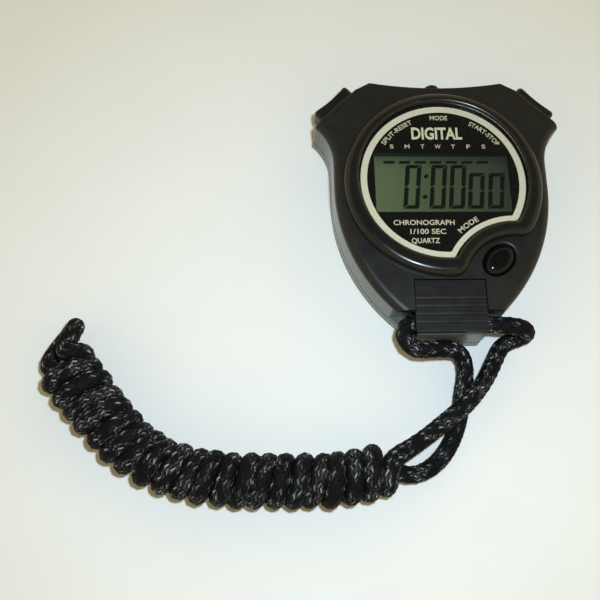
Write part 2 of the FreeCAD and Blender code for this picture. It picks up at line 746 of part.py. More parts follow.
# ---------------------------------------------------------------- buttons
def shoulder_button(name, clip_name, leaf_name, side):
    """A finger-dished cap on a stem, the clip that keeps it in, and its contact."""
    placement = side_button_placement(side)
    body = new_body(name)
    cap = sketch_on(body, "0 - side_sunk")
    draw(cap, rounded_rectangle(size("side_length"), size("side_depth"), 1.1))
    pad(body, cap, "side_sunk + side_proud")
    top = size("side_proud")
    dress(body, "Fillet", edges_where(body, lambda p: abs(p.z - top) < 1e-6), "1.0")
    dish = sketch_on(body, "0 - side_depth", "XZ_Plane")
    centre_height = top - size("side_dish") + size("side_dish_radius")
    circle(dish, 0, centre_height, "side_dish_radius")
    pocket(body, dish, "2 * side_depth", up=True)
    stem = sketch_on(body, "0 - side_sunk")
    circle(stem, 0, 0, "stem_radius")
    pad(body, stem, "stem_length", down=True)
    groove = sketch_on(body, "0 - side_well - wall - 0.3")
    circle(groove, 0, 0, "stem_radius + 1")
    circle(groove, 0, 0, "stem_radius - 0.3")
    pocket(body, groove, "clip_thickness + 0.1")
    body.Placement = placement

    depth = -size("side_well") - size("wall") - 0.35
    ring = Part.makeCylinder(size("clip_radius"), size("clip_thickness"),
                             Vector(0, 0, depth - size("clip_thickness")))
    bore = Part.makeCylinder(size("stem_radius") - 0.25, 2, Vector(0, 0, depth - 1.5))
    mouth = Part.makeBox(1.5, 3, 2, Vector(-0.75, 0, depth - 1.5))
    clip = feature(clip_name, ring.cut(bore).cut(mouth).removeSplitter())
    clip.Placement = placement
    leaf_contact(leaf_name, placement, -size("side_sunk") - size("stem_length"))


def top_button():
    """The small pin button in the top edge, with its clip and contact."""
    end = size("top_button_end")
    placement = Placement(Vector(0, end, size("side_height")),
                          Rotation(Vector(-1, 0, 0), Vector(0, 0, 1), Vector(0, 1, 0), "ZYX"))
    body = new_body("top_mode_button")
    head = sketch_on(body, "0")
    circle(head, 0, 0, "top_button_radius")
    pad(body, head, "top_button_head", down=True)
    dress(body, "Fillet", edges_where(body, lambda p: abs(p.z) < 1e-6), "0.5")
    flange = sketch_on(body, "0 - top_button_head")
    circle(flange, 0, 0, "top_button_radius + 0.7")
    pad(body, flange, "0.7", down=True)
    stem = sketch_on(body, "0 - top_button_head - 0.7")
    circle(stem, 0, 0, "stem_radius - 0.2")
    pad(body, stem, "0.65", down=True)
    body.Placement = placement
    leaf_contact("top_mode_contact", placement, -size("top_button_head") - 0.95)


def front_button():
    """The glossy oval button beside the dial, over a rubber dome on the board."""
    body = new_body("front_mode_button")
    stalk = sketch_on(body, "cavity_roof - 0.25")
    ellipse(stalk, 0.0)
    pad(body, stalk, "oval_top - cavity_roof + 0.25")
    top = size("oval_top")
    dress(body, "Fillet", edges_where(body, lambda p: abs(p.z - top) < 1e-6), "2.0")
    flange = sketch_on(body, "cavity_roof - 0.25")
    ellipse(flange, size("oval_flange"))
    pad(body, flange, "0.8", down=True)
    stem = sketch_on(body, "cavity_roof - 1.05")
    circle(stem, size("oval_x"), size("oval_y"), "stem_radius")
    pad(body, stem, "1.2", down=True)
    base = Vector(size("oval_x"), size("oval_y"), size("board_height") + size("board_thickness"))
    dome = Part.makeCone(3.0, 1.6, 1.3, base).cut(Part.makeCone(2.5, 1.1, 0.9, base))
    feature("front_button_dome", dome.removeSplitter())


# ---------------------------------------------------------------- strap cover
def strap_cover():
    """The ribbed cover that slides down off the strap channel, with tongues along its sides."""
    body = new_body("strap_cover")
    edge = size("cover_half_width")
    plate = sketch_on(body, "cover_height")
    rectangle(plate, -edge, edge, size("cover_bottom"), size("cover_top"))
    pad(body, plate, "cover_face - cover_height")
    face = size("cover_face")
    dress(body, "Fillet", edges_where(body, lambda p: abs(p.z - face) < 1e-6), "0.25")
    for number in range(4):
        middle = size("groove_start") - number * size("groove_pitch")
        groove = sketch_on(body, "0 - cover_half_width - 1", "YZ_Plane")
        half, lip = size("groove_width") / 2, size("groove_lip")
        floor = face - size("groove_depth")
        right = [(half, floor), (half, face - 0.4 * lip), (half + lip, face), (half + lip, face + 1)]
        outline = right + [(-y, z) for y, z in right[::-1]]
        corners = [Vector(middle + y, z, 0) for y, z in outline]
        for start, end in zip(corners, corners[1:] + corners[:1]):
            groove.addGeometry(Part.LineSegment(start, end), False)
        pocket(body, groove, "2 * cover_half_width + 2", up=True)
    tongues = sketch_on(body, "rail_height")
    rectangle(tongues, -edge - size("tongue"), edge + size("tongue"),
              size("panel_end") + 0.2, size("cover_top") - 0.4)
    pad(body, tongues, "tongue_thickness")


# ---------------------------------------------------------------- lanyard
def route_path(points):
    """Straight runs joined by arcs as large as the two runs at each point allow."""
    points = [Vector(*point) for point in points]
    edges, radii, start = [], [], points[0]
    for before, corner, after in zip(points, points[1:], points[2:]):
        back, ahead = before - corner, after - corner
        turn = math.pi - back.getAngle(ahead)
        reach = 0.45 * min(back.Length, ahead.Length)
        radii.append(reach / math.tan(turn / 2))
        enter = corner + back.normalize() * reach
        leave = corner + ahead.normalize() * reach
        inward = (back + ahead).normalize()
        drop = radii[-1] / math.cos(turn / 2) - radii[-1]
        edges.append(Part.LineSegment(start, enter).toShape())
        edges.append(Part.Arc(enter, corner + inward * drop, leave).toShape())
        start = leave
    edges.append(Part.LineSegment(start, points[-1]).toShape())
    return Part.Wire(edges), radii


def tube(name, points, diameter):
    """A round solid along a route, its volume compared with its section times its length."""
    path, radii = route_path(points)
    direction = Vector(*points[1]) - Vector(*points[0])
    profile = Part.Wire(Part.makeCircle(diameter / 2, Vector(*points[0]), direction))
    solid = path.makePipeShell([profile], True, False)
    expected = math.pi * diameter ** 2 / 4 * path.Length
    assert abs(solid.Volume / expected - 1) < 0.01, f"{name}: the tube's volume is off"
    smallest = min(radii) if radii else 0.0
    print(f"{name}: {path.Length:.1f} mm long, smallest radius {smallest:.1f} mm,"
          f" all {[round(r, 1) for r in radii]}")
    return feature(name, solid)


LUG_RUN = [(-5.6, -31.15, 9.0), (5.6, -31.6, 9.0)]
LEFT_STRAND = [
    (-5.6, -31.15, 9.0), (-9.6, -30.99, 9.0), (-11.7, -34.4, 8.8), (-8.9, -38.1, 8.4),
    (-3.4, -37.5, 8.0), (2.9, -37.4, 6.2), (4.8, -42.0, 3.4), (3.4, -48.6, 2.1),
    (1.9, -56.6, 2.1), (-2.9, -64.4, 2.1), (-9.4, -68.0, 3.0), (-15.0, -67.0, 5.6),
]
RIGHT_STRAND = [
    (5.6, -31.6, 9.0), (10.8, -31.81, 9.0), (18.1, -32.6, 9.4), (20.7, -33.4, 6.0),
    (18.3, -34.0, 2.6), (14.6, -35.2, 2.4), (12.0, -39.8, 2.8), (8.8, -45.2, 5.2),
    (4.2, -50.6, 6.6), (-2.2, -55.6, 6.4), (-9.0, -60.6, 6.2), (-15.8, -64.6, 8.8),
]
WRAP = [
    (-16.6, -66.2, 6.7), (-25.5, -69.1, 6.7), (-40.0, -69.0, 6.7), (-57.5, -68.6, 6.7),
    (-72.0, -64.6, 6.7), (-82.5, -56.4, 6.7), (-94.0, -42.2, 6.7),
]
END_LOOP = [
    (-94.95, -41.64, 6.0), (-98.3, -39.5, 4.4), (-96.3, -34.9, 2.6), (-92.0, -30.4, 2.3),
    (-91.8, -30.2, 7.6), (-95.9, -34.9, 8.8), (-98.0, -39.4, 9.8), (-94.55, -41.84, 10.4),
]


def lanyard():
    """The braided cord as plain solids: strands, end loop and the wrapped hand grip."""
    cord = size("cord")
    tube("lanyard_lug_run", LUG_RUN, cord)
    tube("lanyard_left_strand", LEFT_STRAND, cord)
    tube("lanyard_right_strand", RIGHT_STRAND, cord)
    tube("lanyard_wrap", WRAP, size("wrap"))
    tube("lanyard_end_loop", END_LOOP, cord)


# ---------------------------------------------------------------- the whole watch
def build():
    front_shell()
    rear_shell()
    window_lens()
    dial_mask()
    display()
    circuit_board()
    board_parts()
    battery()
    shoulder_button("start_stop_button", "start_stop_clip", "start_stop_contact", 1)
    shoulder_button("split_reset_button", "split_reset_clip", "split_reset_contact", -1)
    top_button()
    front_button()
    strap_cover()
    screws("case_screws", BOSSES, 0.2, True, 8.0)
    screws("board_screws", BOARD_POSTS, size("board_height") - 0.7, False, 3.4)
    lanyard()


def check_and_write():
    """Writes each sub-part once every object is sound."""
    doc.recompute()
    for thing in doc.Objects:
        bad = {"Invalid", "Error"} & set(thing.State)
        assert not bad, f"{thing.Label}: {bad}"
    os.makedirs("parts", exist_ok=True)
    for thing in sub_parts:
        assert not thing.Shape.isNull() and thing.Shape.isValid(), f"{thing.Label}: bad shape"
        thing.Shape.exportStep(f"parts/{thing.Label}.step")
        span = thing.Shape.BoundBox
        print(f"{thing.Label}: {len(thing.Shape.Solids)} solid, {thing.Shape.Volume:.1f} mm3,"
              f" x {span.XMin:.2f} {span.XMax:.2f} y {span.YMin:.2f} {span.YMax:.2f}"
              f" z {span.ZMin:.2f} {span.ZMax:.2f}")


build()
check_and_write()
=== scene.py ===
"""A digital sports stopwatch on a pale sheet, with its braided wrist lanyard.

The scene is in metres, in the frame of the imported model: +X right, +Y towards the top button and
+Z up. Sizes and places that are written here are in millimetres, and MM turns them into metres.
"""
import math

import bpy
import numpy as np
from mathutils import Matrix, Vector


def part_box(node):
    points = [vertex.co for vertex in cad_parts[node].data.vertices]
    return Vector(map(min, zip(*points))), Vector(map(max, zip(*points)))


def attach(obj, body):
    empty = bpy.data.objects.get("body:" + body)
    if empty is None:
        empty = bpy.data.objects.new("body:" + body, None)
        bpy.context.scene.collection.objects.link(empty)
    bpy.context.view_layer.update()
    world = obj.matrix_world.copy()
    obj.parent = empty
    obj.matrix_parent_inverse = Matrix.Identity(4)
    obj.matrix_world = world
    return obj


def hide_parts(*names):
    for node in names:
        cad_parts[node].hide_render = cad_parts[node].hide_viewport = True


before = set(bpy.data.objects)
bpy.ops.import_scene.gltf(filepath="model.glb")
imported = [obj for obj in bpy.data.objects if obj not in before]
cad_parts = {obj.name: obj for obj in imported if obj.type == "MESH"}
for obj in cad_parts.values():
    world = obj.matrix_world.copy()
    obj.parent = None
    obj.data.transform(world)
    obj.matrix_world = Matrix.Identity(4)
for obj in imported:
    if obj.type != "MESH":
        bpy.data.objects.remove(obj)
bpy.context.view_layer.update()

MM = 0.001
DIAL = (0.0, 4.4)                 # centre of the print on the dial
BEZEL = (0.0, 3.9)                # centre of the bezel
NOTCH = (17.0, -23.9)             # centre of the arc that is cut out of the dial
PRINT_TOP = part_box("dial_mask")[1][2] / MM              # height of the film that carries the print
DISPLAY_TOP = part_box("lcd_front_polarizer")[1][2] / MM  # height of the display's front film


# ---------------------------------------------------------------- camera and light
CAMERA_PLACE = (-46.6, -94.5, 220.2)
CAMERA_TURN = (-18.22, 2.33, 1.15)      # degrees about X, Y and Z, from the watch to the camera
LENS, SENSOR = 54.0, 36.0
FLASH_PLACE, FLASH_TARGET = (-23, -71, 224), (-20, -20, 0)
FLASH_WIDTH, FLASH_POWER = 13, 0.52     # millimetres and watts
ROOM_STRENGTH = 0.84


def add_camera():
    """The camera of the picture, over the watch's lower left."""
    camera = bpy.data.objects.new("camera", bpy.data.cameras.new("camera"))
    camera.data.lens = LENS
    camera.data.sensor_width = SENSOR
    camera.data.clip_start = 10 * MM
    turn = [math.radians(angle) for angle in CAMERA_TURN]
    to_camera = (Matrix.Rotation(turn[0], 3, "X") @ Matrix.Rotation(turn[1], 3, "Y")
                 @ Matrix.Rotation(turn[2], 3, "Z"))
    place = Matrix.Translation(Vector(CAMERA_PLACE) * MM)
    camera.matrix_world = place @ to_camera.transposed().to_4x4()
    bpy.context.collection.objects.link(camera)
    bpy.context.scene.camera = camera


def add_flash():
    """A small cool square light beside the camera, turned to the sheet beside the watch."""
    light = bpy.data.lights.new("flash", "AREA")
    light.size = FLASH_WIDTH * MM
    light.energy = FLASH_POWER
    light.color = (0.67, 0.82, 0.96)
    thing = bpy.data.objects.new("flash", light)
    thing.location = Vector(FLASH_PLACE) * MM
    look = (Vector(FLASH_TARGET) - Vector(FLASH_PLACE)).normalized()
    thing.rotation_euler = look.to_track_quat("-Z", "Y").to_euler()
    bpy.context.collection.objects.link(thing)


def add_room():
    """Yellow light from every side, darkest overhead."""
    world = bpy.data.worlds.new("room")
    bpy.context.scene.world = world
    world.use_nodes = True
    nodes, link = world.node_tree.nodes, world.node_tree.links.new
    height = nodes.new("ShaderNodeSeparateXYZ")
    link(nodes.new("ShaderNodeTexCoord").outputs["Generated"], height.inputs[0])
    ramp = nodes.new("ShaderNodeValToRGB")
    low, high = ramp.color_ramp.elements
    low.position, low.color = 0.62, (0.92, 0.74, 0.37, 1.0)
    high.position, high.color = 0.86, (0.1, 0.08, 0.05, 1.0)
    link(height.outputs["Z"], ramp.inputs[0])
    link(ramp.outputs[0], nodes["Background"].inputs["Color"])
    nodes["Background"].inputs["Strength"].default_value = ROOM_STRENGTH
    bpy.context.scene.view_settings.view_transform = "Standard"


# ---------------------------------------------------------------- the lanyard's route
CORD = 4.15                       # diameter of the cord
TURNS = 21                        # turns of the grip
POINTS_A_TURN = 12                # control points of each turn
GRIP = 13.4                       # diameter of the grip
LEFT_END_WIDER = 1.1              # half the extra width of the turns at the grip's left end
PRESSED = 0.12                    # share by which the grip's turns are wider than the loose cord
PRESSED_BLEND = 6.0               # length over which the cord widens at each end of the grip

LEFT_STRAND = [
    (-5.6, -31.15, 9.0), (-9.6, -30.99, 9.0), (-11.7, -34.4, 8.8), (-8.9, -38.1, 8.4),
    (-3.4, -37.5, 8.0), (2.9, -37.4, 6.2), (4.8, -42.0, 3.4), (3.4, -48.6, 2.1),
    (1.9, -56.6, 2.1), (-2.9, -64.4, 2.1), (-9.4, -68.0, 3.0), (-15.0, -67.0, 5.6),
]
RIGHT_STRAND = [
    (5.6, -31.6, 9.0), (10.8, -31.81, 9.0), (18.1, -32.6, 9.4), (20.7, -33.4, 6.0),
    (18.3, -34.0, 2.6), (14.6, -35.2, 2.4), (12.0, -39.8, 2.8), (8.8, -45.2, 5.2),
    (4.2, -50.6, 6.6), (-2.2, -55.6, 6.4), (-9.0, -60.6, 6.2), (-15.8, -64.6, 8.8),
]
WRAP = [
    (-16.6, -66.2, 6.7), (-25.5, -69.1, 6.7), (-40.0, -69.0, 6.7), (-57.5, -68.6, 6.7),
    (-72.0, -64.6, 6.7), (-82.5, -56.4, 6.7), (-95.1, -40.5, 6.7),
]
END_LOOP = [
    (-94.95, -42.2, 6.0), (-98.4, -40.6, 4.4), (-97.1, -36.2, 2.6), (-93.2, -30.6, 2.3),
    (-91.2, -30.5, 7.2), (-92.6, -34.6, 8.8), (-93.4, -37.7, 9.8),
]


def read_curve(curve):
    """Points and faces that a curve or text makes; the curve itself is thrown away."""
    thing = bpy.data.objects.new(curve.name, curve)
    bpy.context.collection.objects.link(thing)
    bpy.context.view_layer.update()
    mesh = bpy.data.meshes.new_from_object(thing)
    points = [vertex.co.copy() for vertex in mesh.vertices]
    faces = [tuple(face.vertices) for face in mesh.polygons]
    bpy.data.objects.remove(thing)
    bpy.data.meshes.remove(mesh)
    bpy.data.curves.remove(curve)
    return points, faces


def smooth_line(route):
    """Points, in metres, of the spline that a route's control points in millimetres make."""
    curve = bpy.data.curves.new("route", "CURVE")
    curve.dimensions = "3D"
    curve.resolution_u = 8
    spline = curve.splines.new("NURBS")
    spline.points.add(len(route) - 1)
    for control, point in zip(spline.points, route):
        control.co = (*(Vector(point) * MM), 1.0)
    spline.order_u = 3
    spline.use_endpoint_u = True
    return read_curve(curve)[0]


def length_of(line):
    """The length of a line through points."""
    return sum((end - start).length for start, end in zip(line, line[1:]))


def even_points(line, count):
    """The same line as this many points in equal steps."""
    lengths = [0.0]
    for start, end in zip(line, line[1:]):
        lengths.append(lengths[-1] + (end - start).length)
    points, index = [], 0
    for number in range(count):
        want = lengths[-1] * number / (count - 1)
        while index < len(line) - 2 and lengths[index + 1] < want:
            index += 1
        span = lengths[index + 1] - lengths[index]
        points.append(line[index].lerp(line[index + 1], (want - lengths[index]) / span))
    return points


def grip_turns():
    """Control points of the turns wound back along the grip, from its left end to its right."""
    up = Vector((0, 0, 1))
    count = TURNS * POINTS_A_TURN
    axis = even_points(smooth_line(WRAP), count + 1)[::-1]
    turns = []
    for number, centre in enumerate(axis):
        ahead = axis[min(number + 1, count)] - axis[max(number - 1, 0)]
        level = up.cross(ahead).normalized()
        angle = 2 * math.pi * number / POINTS_A_TURN
        tightness = 0.985 + 0.02 * math.sin(1.7 * angle / 3 + 0.6)
        reach = (GRIP - CORD * (1 + PRESSED)) / 2 * tightness
        wider = LEFT_END_WIDER * max(0.0, 1.0 - number / (0.4 * count))
        lean = CORD * (0.10 * math.sin(angle) + 0.07 * math.sin(0.37 * number))
        upward = up * math.cos(angle) * reach
        aside = level * (math.sin(angle) * (reach + wider) + wider)
        turns.append(centre / MM + upward + aside + ahead.normalized() * lean)
    return turns[1:-1]


def cord_route():
    """The whole cord: out of the lug, through the grip, round its end, back as turns and in."""
    meet = (0.1, *LEFT_STRAND[0][1:])
    return ([(-meet[0], *meet[1:])] + LEFT_STRAND + WRAP[1:-1] + END_LOOP + grip_turns()
            + RIGHT_STRAND[::-1] + [meet])


def pressed_wide(count, step):
    """How wide the cord is at each of its points, as a share of the loose cord."""
    start = length_of(smooth_line(LEFT_STRAND + WRAP[1:-1] + END_LOOP))
    end = (count - 1) * step - length_of(smooth_line(RIGHT_STRAND))
    along = np.arange(count) * step
    past_start = np.clip((along - start) / (PRESSED_BLEND * MM), 0, 1)
    before_end = np.clip((end - along) / (PRESSED_BLEND * MM), 0, 1)
    return 1.0 + PRESSED * past_start * before_end


# ---------------------------------------------------------------- mesh helpers
def new_piece(name, mesh, body, look):
    """An object that rides on a body and has this finish."""
    piece = bpy.data.objects.new(name, mesh)
    bpy.context.collection.objects.link(piece)
    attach(piece, body)
    mesh.materials.append(look.material)
    return piece


def flat_mesh(name, points, faces):
    """A mesh with flat faces from points in millimetres."""
    mesh = bpy.data.meshes.new(name)
    mesh.from_pydata([Vector(point) * MM for point in points], [], faces)
    mesh.validate()
    return mesh


def plates(name, outlines, bottom, top):
    """Flat plates, one for each outline in X and Y."""
    points, faces = [], []
    for outline in outlines:
        first, count = len(points), len(outline)
        points += [(x, y, height) for height in (bottom, top) for x, y in outline]
        low = list(range(first, first + count))
        high = list(range(first + count, first + 2 * count))
        faces += [low[::-1], high]
        faces += [(low[i], low[(i + 1) % count], high[(i + 1) % count], high[i])
                  for i in range(count)]
    return flat_mesh(name, points, faces)


# ---------------------------------------------------------------- the braid
STRANDS = 8                       # strands that wind each way
BRAID = 2.33                      # length of one over-and-under along the cord
AROUND = 48                       # points round the cord
STEP = 0.42                       # step along it
STRAND_RISE = 0.34                # how far a strand's middle stands over its edges
CROSSING = 0.15                   # how far a strand rises or dips at a crossing
OVER_BLEND = 0.08                 # difference in height over which one set gives way to the other
LOOSE = 0.05                      # unevenness of the cord's girth


def directions(line):
    """Two directions square to the line at each point, which turn as little as they can."""
    ahead = line[1:] + [line[-1] * 2 - line[-2]]
    behind = [line[0] * 2 - line[1]] + line[:-1]
    tangents = [(end - start).normalized() for start, end in zip(behind, ahead)]
    side = tangents[0].cross(Vector((0, 0, 1))).normalized()
    sides, ups = [], []
    for tangent in tangents:
        side = (side - tangent * side.dot(tangent)).normalized()
        sides.append(side)
        ups.append(tangent.cross(side))
    return np.array(sides)[:, None, :], np.array(ups)[:, None, :]


def relief(travel, turn):
    """How high the yarn stands, and 1 where the strands that wind to the right lie on top."""
    right, left = STRANDS * turn + travel, STRANDS * turn - travel
    cross = CROSSING * np.sin(np.pi * right) * np.sin(np.pi * left)
    right_top = STRAND_RISE * np.sqrt(np.abs(np.sin(np.pi * right))) + cross
    left_top = STRAND_RISE * np.sqrt(np.abs(np.sin(np.pi * left))) - cross
    over = np.clip(0.5 + (right_top - left_top) / OVER_BLEND, 0, 1)
    return np.maximum(right_top, left_top), over


def braided_tube(name, line):
    """Two sets of strands that wind round a line and pass over and under each other."""
    rings = len(line)
    step = (line[1] - line[0]).length / MM
    travel = np.arange(rings)[:, None] * step / BRAID
    turn = np.arange(AROUND)[None, :] / AROUND
    height, over = relief(travel, turn)
    girth = LOOSE * (np.sin(travel * 0.83) + np.sin(travel * 0.31 + 6.28 * turn))
    wide = pressed_wide(rings, step * MM)[:, None]
    radius = (CORD / 2 * wide - STRAND_RISE + height + girth) * MM

    angle = 2 * np.pi * turn
    sides, ups = directions(line)
    points = (np.array(line)[:, None, :] + sides * (radius * np.cos(angle))[:, :, None]
              + ups * (radius * np.sin(angle))[:, :, None])
    ring, place = np.meshgrid(np.arange(rings - 1), np.arange(AROUND), indexing="ij")
    beside = (place + 1) % AROUND
    quads = np.stack([ring * AROUND + place, ring * AROUND + beside,
                      (ring + 1) * AROUND + beside, (ring + 1) * AROUND + place], axis=-1)
    faces = quads.reshape(-1, 4).tolist()
    faces.append(list(range(AROUND))[::-1])
    faces.append(list(range((rings - 1) * AROUND, rings * AROUND)))
    mesh = bpy.data.meshes.new(name)
    mesh.from_pydata(points.reshape(-1, 3).tolist(), [], faces)
    mesh.polygons.foreach_set("use_smooth", [True] * len(mesh.polygons))

    for label, values in (("over", over), ("crown", height / height.max())):
        mesh.attributes.new(label, "FLOAT", "POINT").data.foreach_set("value", values.ravel())
    corner_turn = np.stack([place, place + 1, place + 1, place], axis=-1) / AROUND
    corner_travel = np.stack([ring, ring, ring + 1, ring + 1], axis=-1) * step / BRAID
    lanes = np.stack([STRANDS * corner_turn + corner_travel,
                      STRANDS * corner_turn - corner_travel], axis=-1).reshape(-1, 2)
    ends = np.zeros((2 * AROUND, 2))
    layer = mesh.uv_layers.new(name="braid")
    layer.data.foreach_set("uv", np.concatenate([lanes, ends]).ravel())
    return mesh


def add_lanyard():
    """The cord as one braided piece, in place of its plain solids."""
    line = smooth_line(cord_route())
    path = even_points(line, round(length_of(line) / (STEP * MM)) + 1)
    piece = new_piece("lanyard", braided_tube("lanyard", path), "case", nylon_braid())
    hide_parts("lanyard_lug_run", "lanyard_left_strand", "lanyard_right_strand",
                "lanyard_wrap", "lanyard_end_loop")


# ---------------------------------------------------------------- print on the dial
RING_RADIUS, RING_INSIDE = 21.0, 19.35              # the ring's edges round the dial
RING_NOTCH, RING_NOTCH_INSIDE = 17.25, 18.6         # its edges round the notch
INK = 0.02                        # thickness of print
DAY_LEFT, DAY_STEP = -12.64, 3.945                  # the first day's letter and the next ones
DAY_FOOT = 13.4                   # the line that the days' letters stand on
ROUND_STEPS, BITE_STEPS = 150, 40           # how finely the ring follows its circle and its bite


def dial_outline(radius, notch_radius, corner):
    """Points round the dial: a circle with an arc bitten out of it, and round corners."""
    gap = Vector(NOTCH) - Vector(DIAL)
    reach = (radius ** 2 - notch_radius ** 2 + gap.length_squared) / (2 * gap.length)
    half = math.acos(reach / radius)
    middle = math.atan2(gap.y, gap.x)
    bite = math.acos((gap.length - reach) / notch_radius)
    round_by, bite_by = corner / radius, corner / notch_radius
    outline = []
    for number in range(ROUND_STEPS + 1):
        sweep = 2 * math.pi - 2 * half - 2 * round_by
        angle = middle + half + round_by + sweep * number / ROUND_STEPS
        outline.append(Vector(DIAL) + radius * Vector((math.cos(angle), math.sin(angle))))
    notch = []
    for number in range(BITE_STEPS + 1):
        angle = middle + math.pi + (bite - bite_by) * (1 - 2 * number / BITE_STEPS)
        notch.append(Vector(NOTCH) + notch_radius * Vector((math.cos(angle), math.sin(angle))))
    corners = [Vector(DIAL) + radius * Vector((math.cos(middle + turn), math.sin(middle + turn)))
               for turn in (-half, half)]
    if (notch[0] - outline[-1]).length > (notch[-1] - outline[-1]).length:
        notch.reverse()
    joins = ((outline[-1], corners[0], notch[0]), (notch[-1], corners[1], outline[0]))
    for start, tip, end in joins:
        bend = [start.lerp(tip, t).lerp(tip.lerp(end, t), t) for t in (0.25, 0.5, 0.75)]
        outline += bend + (notch if end == notch[0] else [])
    return outline


def add_ring():
    """The silver ring printed round the dial."""
    outside = dial_outline(RING_RADIUS, RING_NOTCH, 0.8)
    inside = dial_outline(RING_INSIDE, RING_NOTCH_INSIDE, 0.25)
    count = len(outside)
    loops = [(outside, PRINT_TOP), (outside, PRINT_TOP + INK),
             (inside, PRINT_TOP + INK), (inside, PRINT_TOP)]
    points = [(*point, height) for loop, height in loops for point in loop]
    faces = []
    for number in range(4):
        here, there = number * count, (number + 1) % 4 * count
        faces += [(here + i, here + (i + 1) % count, there + (i + 1) % count, there + i)
                  for i in range(count)]
    ring = flat_mesh("dial_ring", points, faces)
    new_piece("dial_ring", ring, "case", silver_print())


def flat_words(words, bold):
    """Corner points, in units of a capital's height, and faces of words in the built-in font."""
    def build(text):
        curve = bpy.data.curves.new("words", "FONT")
        curve.body, curve.offset, curve.extrude, curve.resolution_u = text, bold, 0.5, 3
        return read_curve(curve)

    capital = max(point.y for point in build("H")[0])
    points, faces = build(words)
    left = min(point.x for point in points)
    return [Vector((p.x - left, p.y, p.z)) / capital for p in points], faces


def print_words(ink, name, words, cap, place, bold=0.01):
    """Words with capitals of this height; place turns a share of their width and a height above
    their foot, in millimetres, into X and Y."""
    points, faces = flat_words(words, bold)
    width = max(point.x for point in points)
    printed = []
    for point in points:
        x, y = place(point.x / width, point.y * cap)
        printed.append((x, y, PRINT_TOP + (INK if point.z > 0 else 0.0)))
    new_piece(name, flat_mesh(name, printed, faces), "case", ink)


def straight(left, right, baseline):
    """Places words on a level line."""
    return lambda share, height: (left + (right - left) * share, baseline + height)


def curved(centre, radius, start, end):
    """Places words on an arc, from one angle to another in degrees."""
    def place(share, height):
        angle = math.radians(start + (end - start) * share)
        reach = radius + height
        return centre[0] + reach * math.cos(angle), centre[1] + reach * math.sin(angle)
    return place


def add_print():
    """The ring, the words and the letters of the days."""
    add_ring()
    ink = white_print()
    print_words(ink, "print_mode_top", "MODE", 1.25, straight(-2.36, 2.21, 21.55))
    print_words(ink, "print_split_reset", "SPLIT-RESET", 1.25, curved(DIAL, 17.45, 145.4, 113.5))
    print_words(ink, "print_start_stop", "START-STOP", 1.25, curved(DIAL, 17.35, 64.3, 34.1))
    print_words(ink, "print_title", "DIGITAL", 3.3, straight(-7.4, 5.7, 16.1), bold=0.03)
    print_words(ink, "print_chronograph", "CHRONOGRAPH", 1.33, straight(-13.27, 2.0, -7.76))
    print_words(ink, "print_hundredths", "1/100 SEC", 1.33, straight(-9.2, -0.3, -10.15))
    print_words(ink, "print_quartz", "QUARTZ", 1.33, straight(-9.0, -2.0, -12.6))
    print_words(ink, "print_mode_side", "MODE", 1.35, curved(NOTCH, 19.35, 134.2, 117.0))
    for day, letter in enumerate("SMTWTFS"):
        middle = DAY_LEFT + DAY_STEP * day
        half = {"M": 0.62, "W": 0.75}.get(letter, 0.46)
        print_words(ink, f"print_day_{day}", letter, 1.1,
                    straight(middle - half, middle + half, DAY_FOOT))


# ---------------------------------------------------------------- the display's figures
BAR = 0.92                        # width of an upright bar
LEVEL_BAR = 0.8                   # height of a level bar
SLANT = 1.3 / 12.1                # how far figures lean for their height
BIG_TOP, SMALL_TOP, FIGURE_FOOT = 9.95, 7.65, -2.15
BIG_LEFTS, SMALL_LEFTS = (-10.15, -3.5, 1.5), (6.35, 11.5)
FIGURE_WIDTH = 3.9
SLIT = 0.12                       # half the gap between two bars
OUTER_STOP, INNER_STOP = 0.25, 0.55   # where an upright bar's edges end beside its point
COLON = ((-3.85, 6.84, 0.5), (-4.5, 1.08, 0.55))    # X, Y and radius of the colon's dots
MARK_LEFT, MARK_STEP, MARK_WIDTH = -14.67, 4.04, 2.8    # the marks under the letters of the days
MARK_FOOT, MARK_TOP, MARK_LEAN = 10.5, 11.05, 0.06
FIGURE_RISE = 0.02                # thickness of the figures
SHADES = ((0.16, 0.12, 0.012), (0.3, 0.24, 0.007))  # shift in X and Y, and thickness, of each shade


def zero_bars(left, foot, top):
    """Outlines of the six bars of a nought, leaning to the right."""
    right, middle = left + FIGURE_WIDTH, (foot + top) / 2
    bars = [[(left + SLIT, top), (right - SLIT, top), (right - BAR - SLIT, top - LEVEL_BAR),
             (left + BAR + SLIT, top - LEVEL_BAR)],
            [(left + BAR + SLIT, foot + LEVEL_BAR), (right - BAR - SLIT, foot + LEVEL_BAR),
             (right - SLIT, foot), (left + SLIT, foot)]]
    for outer, inner in ((left, left + BAR), (right, right - BAR)):
        point = (outer + inner) / 2
        bars.append([(outer, top - SLIT), (outer, middle + OUTER_STOP), (point, middle + SLIT),
                     (inner, middle + INNER_STOP), (inner, top - LEVEL_BAR - SLIT)])
        bars.append([(outer, foot + SLIT), (outer, middle - OUTER_STOP), (point, middle - SLIT),
                     (inner, middle - INNER_STOP), (inner, foot + LEVEL_BAR + SLIT)])
    return [[(x + SLANT * (y - foot), y) for x, y in bar] for bar in bars]


def dot(x, y, radius):
    """The outline of a round dot."""
    return [(x + radius * math.cos(math.pi * n / 12), y + radius * math.sin(math.pi * n / 12))
            for n in range(24)]


